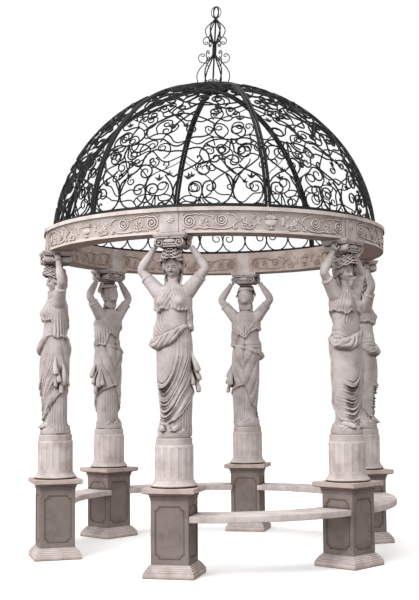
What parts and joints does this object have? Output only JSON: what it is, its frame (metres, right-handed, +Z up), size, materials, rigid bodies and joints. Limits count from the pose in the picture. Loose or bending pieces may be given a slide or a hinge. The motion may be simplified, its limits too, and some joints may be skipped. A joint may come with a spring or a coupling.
{
  "type": "round garden pavilion",
  "caption": "Round open garden pavilion: stone figures on fluted drums and pedestals carry a carved ring, curved benches and a wrought iron scrollwork dome.",
  "frame": {"origin": "on the ground in the middle of the pavilion", "axes": "+Z up, -Y out through the entrance between columns 6 and 1"},
  "size_m": [3.264, 3.0939, 4.915],
  "materials": {
    "carved_stone": "hand carved, matt",
    "weathered_stone": "weathered, matt",
    "iron": "black paint, satin"
  },
  "bodies": {
    "root": {"pedestal_1": "weathered_stone", "pedestal_2": "weathered_stone", "pedestal_3": "weathered_stone", "pedestal_4": "weathered_stone", "pedestal_5": "weathered_stone", "pedestal_6": "weathered_stone", "drum_1": "carved_stone", "drum_2": "carved_stone", "drum_3": "carved_stone", "drum_4": "carved_stone", "drum_5": "carved_stone", "drum_6": "carved_stone", "caryatid_1": "carved_stone", "caryatid_2": "carved_stone", "caryatid_3": "carved_stone", "caryatid_4": "carved_stone", "caryatid_5": "carved_stone", "caryatid_6": "carved_stone", "capital_1": "carved_stone", "capital_2": "carved_stone", "capital_3": "carved_stone", "capital_4": "carved_stone", "capital_5": "carved_stone", "capital_6": "carved_stone", "beam_1": "carved_stone", "beam_2": "carved_stone", "beam_3": "carved_stone", "beam_4": "carved_stone", "beam_5": "carved_stone", "beam_6": "carved_stone", "joint_blocks": "carved_stone", "bench_1": "carved_stone", "bench_2": "carved_stone", "bench_3": "carved_stone", "bench_4": "carved_stone", "bench_5": "carved_stone", "dome_panel_1": "iron", "dome_panel_2": "iron", "dome_panel_3": "iron", "dome_panel_4": "iron", "dome_panel_5": "iron", "dome_panel_6": "iron", "panel_bolts": "iron", "dome_crown": "iron", "finial": "iron"}
  },
  "joints": []
}
